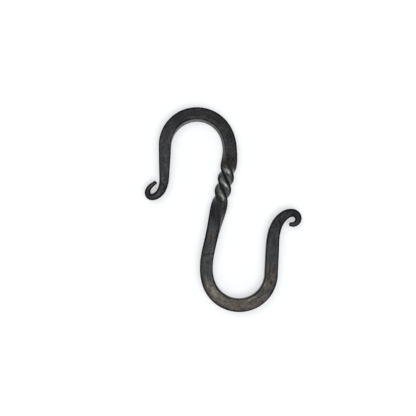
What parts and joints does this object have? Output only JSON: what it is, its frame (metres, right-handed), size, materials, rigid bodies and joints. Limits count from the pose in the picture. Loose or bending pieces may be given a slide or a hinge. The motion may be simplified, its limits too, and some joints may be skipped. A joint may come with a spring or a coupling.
{
  "type": "s hook",
  "caption": "S hook forged from square bar, with a twist at its waist and both ends drawn to a taper and curled outwards, for hanging things from a rail or ring.",
  "frame": {"origin": "under the middle of the hook's box, at the lowest point of the twisted waist as the hook lies flat", "axes": "+Y along the length of the hook towards the upper hook, +Z square to the plane of the S, +X towards the side that the lower hook's leg is on"},
  "size_m": [0.077, 0.1002, 0.0081],
  "materials": {
    "blackened_steel": "hammered and blackened, oiled forge scale with a satin sheen and brown patches in the lower bend"
  },
  "bodies": {
    "root": {"s_hook": "blackened_steel"}
  },
  "joints": []
}
